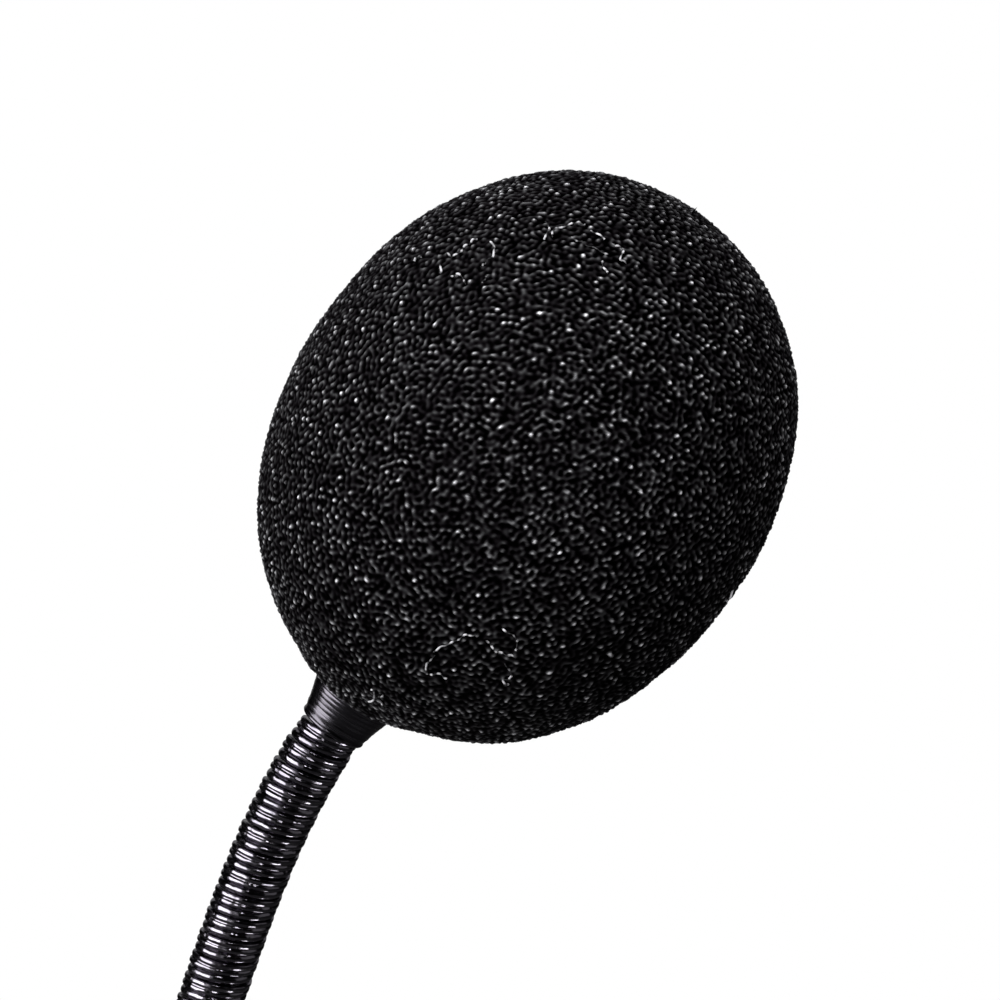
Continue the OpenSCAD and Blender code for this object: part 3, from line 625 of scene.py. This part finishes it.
def build_collar():
    """Flared collar with a bead at its foot and fine turned rings, from the coil to the
    housing."""
    steps = 6
    ringed = []
    for (r0, h0), (r1, h1) in zip(COLLAR_FLARE, COLLAR_FLARE[1:]):
        for k in range(steps):
            t = k / steps
            ring = RING_DEPTH if k in (2, 3) else 0
            ringed.append((r0 + (r1 - r0) * t - ring, h0 + (h1 - h0) * t))
    profile = np.array(COLLAR_BEAD + ringed + COLLAR_BOSS) * MM
    piece = lathe("collar", profile, sides=144, to_frame=in_head, sharp_angle=25)
    return dress(piece, MATERIALS["housing"], "head", ["head_collar"])


def cube_sphere(n):
    """Unit directions and quads of a cube's grid blown up to a sphere."""
    grid = np.tan(np.linspace(-pi / 4, pi / 4, n + 1))
    u, v = np.meshgrid(grid, grid, indexing="ij")
    one = np.ones_like(u)
    sides = [(one, u, v), (-one, v, u), (v, one, u), (u, -one, v), (u, v, one), (v, u, -one)]
    points = np.concatenate([np.stack(side, -1).reshape(-1, 3) for side in sides])
    points /= np.linalg.norm(points, axis=1, keepdims=True)
    index = np.arange((n + 1) ** 2).reshape(n + 1, n + 1)
    quads = np.stack([index[:-1, :-1], index[1:, :-1], index[1:, 1:], index[:-1, 1:]], -1)
    quads = quads.reshape(-1, 4)
    quads = np.concatenate([quads + side * (n + 1) ** 2 for side in range(len(sides))])
    key = np.round(points * 1e5).astype(np.int64)
    _, first, same = np.unique(key, axis=0, return_index=True, return_inverse=True)
    return points[first], same.reshape(-1)[quads]


def foam_outline(polar):
    """Radius and height of the foam's skin at an angle from its lower pole, with the pocket for
    the housing inside the lip, and how rough it is there."""
    latitude = polar - pi / 2
    power = 2 / FOAM_POWER
    radius = FOAM_R * np.abs(np.cos(latitude)) ** power
    height = FOAM_HALF_H * np.sign(latitude) * np.abs(np.sin(latitude)) ** power
    hang = LIP_DROP * np.exp(-((radius - LIP_R) / LIP_SPREAD) ** 2)
    height = height - hang * (latitude < 0)

    lip_latitude = np.arccos((LIP_R / FOAM_R) ** (1 / power))
    lip_low = -FOAM_HALF_H * np.sin(lip_latitude) ** power - LIP_DROP
    lip_polar = pi / 2 - lip_latitude
    t = np.clip(polar / lip_polar, 0, 1)
    turn = np.clip((1 - t) / (1 - WALL_END), 0, 1) * pi / 2
    wall = np.clip((WALL_END - t) / (WALL_END - TOP_END), 0, 1) ** 2.2
    wall_foot = lip_low + LIP_ROUND
    wall_h = wall_foot + (POCKET_TOP - FOAM_CENTRE - wall_foot) * wall
    top_r = POCKET_R * np.clip(t / TOP_END, 0, 1)
    pocket_r = np.where(t > WALL_END, LIP_R - LIP_ROUND * np.sin(turn), top_r)
    pocket_h = np.where(t > WALL_END, lip_low + LIP_ROUND * (1 - np.cos(turn)), wall_h)
    pocket_rough = 0.7 * smoothstep(t, 0.6, 1.0)
    inside = polar < lip_polar
    return (np.where(inside, pocket_r, radius), np.where(inside, pocket_h, height),
            np.where(inside, pocket_rough, 1.0))


def foam_skin(polar, around):
    """Points on the foam's smooth skin and their normals, in the head's axes about its centre, and
    how rough it is there."""
    radius, height, rough = foam_outline(polar)
    small_step = 1e-4
    next_radius, next_height, _ = foam_outline(polar + small_step)
    slope = np.stack([next_radius - radius, next_height - height], -1)
    slope /= np.maximum(np.linalg.norm(slope, axis=1, keepdims=True), 1e-12)
    points = np.stack([radius * np.cos(around), radius * np.sin(around), height], -1)
    normal = np.stack([slope[:, 1] * np.cos(around), slope[:, 1] * np.sin(around), -slope[:, 0]], -1)
    return points, normal, rough


def about_pocket(points):
    """Points about the foam's centre, in the frame's axes: its axis lies beside its pocket's."""
    points = points.copy()
    away = np.hypot(points[:, 0], points[:, 1])
    points[:, 0] += FOAM_OFFSET * smoothstep(away, 7 * MM, 16 * MM)
    points[:, 2] += FOAM_CENTRE
    return in_head(points)


def lighten(piece, tone_and_painted_light):
    """Stores how light the foam's material is at each of the piece's points: on the foam ball painted
    highlights and painted shade, on the fibres their own lightness.
    """
    attribute = piece.data.attributes.new("tone_and_painted_light", "FLOAT", "POINT")
    attribute.data.foreach_set("value", np.minimum(tone_and_painted_light, 0.9).astype(np.float32))


def build_windscreen():
    """The foam ball: an egg of fine strands with a pocket for the housing."""
    directions, quads = cube_sphere(FOAM_GRID)
    polar = np.arccos(np.clip(-directions[:, 2], -1, 1))
    around = np.arctan2(directions[:, 1], directions[:, 0])
    points, normal, rough = foam_skin(polar, around)
    strands = waves(points, CELL, salt=23, count=200, spread=0.2)
    lump = LUMP_H * waves(points, LUMP, salt=5)
    crown = CROWN_SUNK * smoothstep(polar, radians(120), radians(165))
    rise = lump - STRANDS_SUNK - crown + STRAND_H * np.clip(strands, -1.8, 2.4)
    points += normal * (rough * rise)[:, None]
    piece = new_piece("foam_ball", about_pocket(points), quads, sharp_angle=180)
    # Painted light: the strands' tips are made lighter, as painted highlights, and the hollows
    # between them darker, as painted shade.
    lighten(piece, STRAND_LIGHT * np.exp(1.75 * strands + 1.8 * np.minimum(strands, 0)))
    dress(piece, MATERIALS["foam"], "windscreen", ["foam_windscreen"])


def build_fibres():
    """The stray fibres: thin beaded tubes that dip into the foam and out of it."""
    sides = 6
    for k, path in enumerate(FIBRES):
        polar, around = np.radians(through(path)).T
        points, normal, _ = foam_skin(polar, around)
        sway = (0.02 + 0.16 * np.sin(np.arange(len(polar)) * 0.4 + 2.0 * k)) * MM
        bead = np.clip(0.5 + 0.6 * waves(points, BEAD_GAP, salt=60), 0, 1)
        points = about_pocket(points + normal * sway[:, None])
        piece = tube(f"fibre_{k + 1}", points, FIBRE_R + BEAD_R * bead, sides)
        lighten(piece, np.repeat(0.03 + 0.65 * bead ** 2, sides))
        dress(piece, MATERIALS["foam"], "windscreen")


# ---------------------------------------------------------------- the CAD's own shapes

def build_rounded():
    """Rounded copies of most CAD pieces, and materials on the few that stay as they are."""
    record = frame["record"]
    slot_of = {part["node"]: part["material_slot"] for part in record["subparts"]}
    body_of = {node: body for body, nodes in record["behaviour"]["bodies"].items() for node in nodes}
    for node, (edge, steps) in ROUNDED.items():
        slot = slot_of[node]
        dress(refined(node, edge * MM, steps), MATERIALS[slot], body_of[node], [node])
    for node, piece in NODES.items():
        if not piece.hide_render:
            piece.data.materials.clear()
            piece.data.materials.append(MATERIALS[slot_of[node]])


# ---------------------------------------------------------------- studio

def mix_shaders(tree, share, first, second):
    """The first shader, with a share from 0 to 1 of the second."""
    return add(tree, "ShaderNodeMixShader", {0: share, 1: first, 2: second}).outputs[0]


def build_world():
    """White to the camera, a soft light on surfaces and nearly black in reflections."""
    world = bpy.data.worlds.new("studio")
    world.use_nodes = True
    bpy.context.scene.world = world
    tree = world.node_tree
    tree.nodes.clear()
    path = add(tree, "ShaderNodeLightPath").outputs
    soft, dark, white = (
        add(tree, "ShaderNodeBackground", {"Color": (1, 1, 1, 1), "Strength": strength}).outputs[0]
        for strength in (0.12, 0.004, 1.0))
    unseen = mix_shaders(tree, path["Is Glossy Ray"], soft, dark)
    surface = mix_shaders(tree, path["Is Camera Ray"], unseen, white)
    add(tree, "ShaderNodeOutputWorld", {"Surface": surface})


def floor_material():
    """Pale to the camera, and white further out. Darker to bounced light and in reflections, and
    clear from below and to shadow rays."""
    material, tree, shader = fresh("pale_floor", roughness=0.9)
    path = add(tree, "ShaderNodeLightPath").outputs
    seen = path["Is Camera Ray"]
    tone = add(tree, "ShaderNodeMix", {"Factor": path["Is Glossy Ray"], "A": 0.18, "B": 0.02})
    tone = add(tree, "ShaderNodeMix", {"Factor": seen, "A": tone.outputs["Result"], "B": 0.82})
    connect(tree, tone.outputs["Result"], shader, "Base Color")
    away = add(tree, "ShaderNodeVectorMath", {0: object_place(tree)}, operation="LENGTH")
    fade = add(tree, "ShaderNodeMapRange", {"Value": away.outputs["Value"], "From Min": 0.25,
                                            "From Max": 0.7}, interpolation_type="SMOOTHSTEP")
    far = add(tree, "ShaderNodeMath", {0: fade.outputs["Result"], 1: seen}, operation="MULTIPLY")
    white = add(tree, "ShaderNodeEmission", {"Strength": 1.0})
    top = mix_shaders(tree, far.outputs[0], shader.outputs[0], white.outputs[0])
    below = add(tree, "ShaderNodeNewGeometry").outputs["Backfacing"]
    clear = add(tree, "ShaderNodeMath", {0: below, 1: path["Is Shadow Ray"]}, operation="MAXIMUM")
    glass = add(tree, "ShaderNodeBsdfTransparent")
    surface = mix_shaders(tree, clear.outputs[0], top, glass.outputs[0])
    tree.links.new(surface, tree.nodes["Material Output"].inputs["Surface"])
    return material


def build_floor():
    """A round floor just under the object."""
    radius, sides = 1.2, 96
    turns = [2 * pi * k / sides for k in range(sides)]
    rim = [(radius * cos(turn), radius * sin(turn), 0) for turn in turns]
    floor = new_piece("floor", rim, [tuple(range(sides))])
    floor.location.z = -0.5 * MM
    floor.data.materials.append(floor_material())


def lamp(name, offset, size, power, glints=True, lights=True):
    """A soft box aimed at the head from an offset: it can be kept out of reflections, or seen only
    in them."""
    data = bpy.data.lights.new(name, "AREA")
    data.shape = "RECTANGLE"
    data.size, data.size_y = size
    data.energy = power
    made = new_object(name, data)
    made.location = Vector(HEAD_AT) + Vector(offset)
    made.rotation_euler = (-Vector(offset)).to_track_quat("-Z", "Y").to_euler()
    made.visible_camera = False
    made.visible_glossy = glints
    made.visible_diffuse = lights
    return made


def keep_off(light, piece):
    """Keeps a lamp's light off a piece, as a small flag in front of it does."""
    flag = bpy.data.collections.new("flag")
    flag.objects.link(piece)
    flag.collection_objects[0].light_linking.link_state = "EXCLUDE"
    light.light_linking.receiver_collection = flag


def build_lamps(collar):
    """Key light from the left, fill from above, the right and behind, and the gleams that the metal
    shows: a broad one at the left, a thin one at the right and sparks between."""
    lamp("key", (-0.92, -0.55, 0.22), (1.0, 0.8), 15.0, glints=False)
    lamp("gleam", (-0.99, -0.42, 0.22), (1.2, 0.8), 13.5, lights=False)
    lamp("halo", (-1.0, -0.6, 0.24), (1.8, 1.4), 2.2, lights=False)
    lamp("top", (0.05, -0.5, 0.95), (0.8, 0.5), 8.0, glints=False)
    lamp("right", (0.64, -0.4, 0.95), (0.6, 0.5), 5.7, glints=False)
    lamp("side", (0.97, -0.2, 0.1), (0.9, 0.8), 0.42, lights=False)
    low = lamp("low", (0.047, 0.014, -0.28), (0.13, 0.05), 0.155, lights=False)
    keep_off(low, collar)
    lamp("spark", (0.06, -0.9, 0.62), (0.16, 0.16), 0.9, lights=False)
    lamp("back", (0.1, 1.1, 0.0), (0.8, 0.8), 6.0, glints=False)
    lamp("under", (-0.066, 0.0, -0.536), (0.3, 0.3), 0.28)
    lamp("rim", (0.1, 1.2, 0.3), (1.6, 1.2), 1.5, lights=False)


def build_camera():
    """Long lens, turned down to the head, which it shows a little above and right of centre."""
    tilt = radians(15)
    distance, view_w = 1.1, 0.1221
    left, down = 3.3 * MM, 5.3 * MM
    look = Vector((0, cos(tilt), -sin(tilt)))
    up = Vector((0, sin(tilt), cos(tilt)))
    foam_centre = Vector(in_head([(FOAM_OFFSET, 0, FOAM_CENTRE)])[0])
    aim = foam_centre - left * Vector((1, 0, 0)) - down * up
    data = bpy.data.cameras.new("camera")
    data.lens = data.sensor_width * distance / view_w
    data.clip_start = 0.05
    data.clip_end = 20
    made = new_object("camera", data)
    made.location = aim - look * distance
    made.rotation_euler = look.to_track_quat("-Z", "Y").to_euler()
    bpy.context.scene.camera = made


build_neck()
collar_piece = build_collar()
build_windscreen()
build_fibres()
build_rounded()
build_world()
build_floor()
build_lamps(collar_piece)
build_camera()
bpy.context.scene.view_settings.view_transform = "Standard"
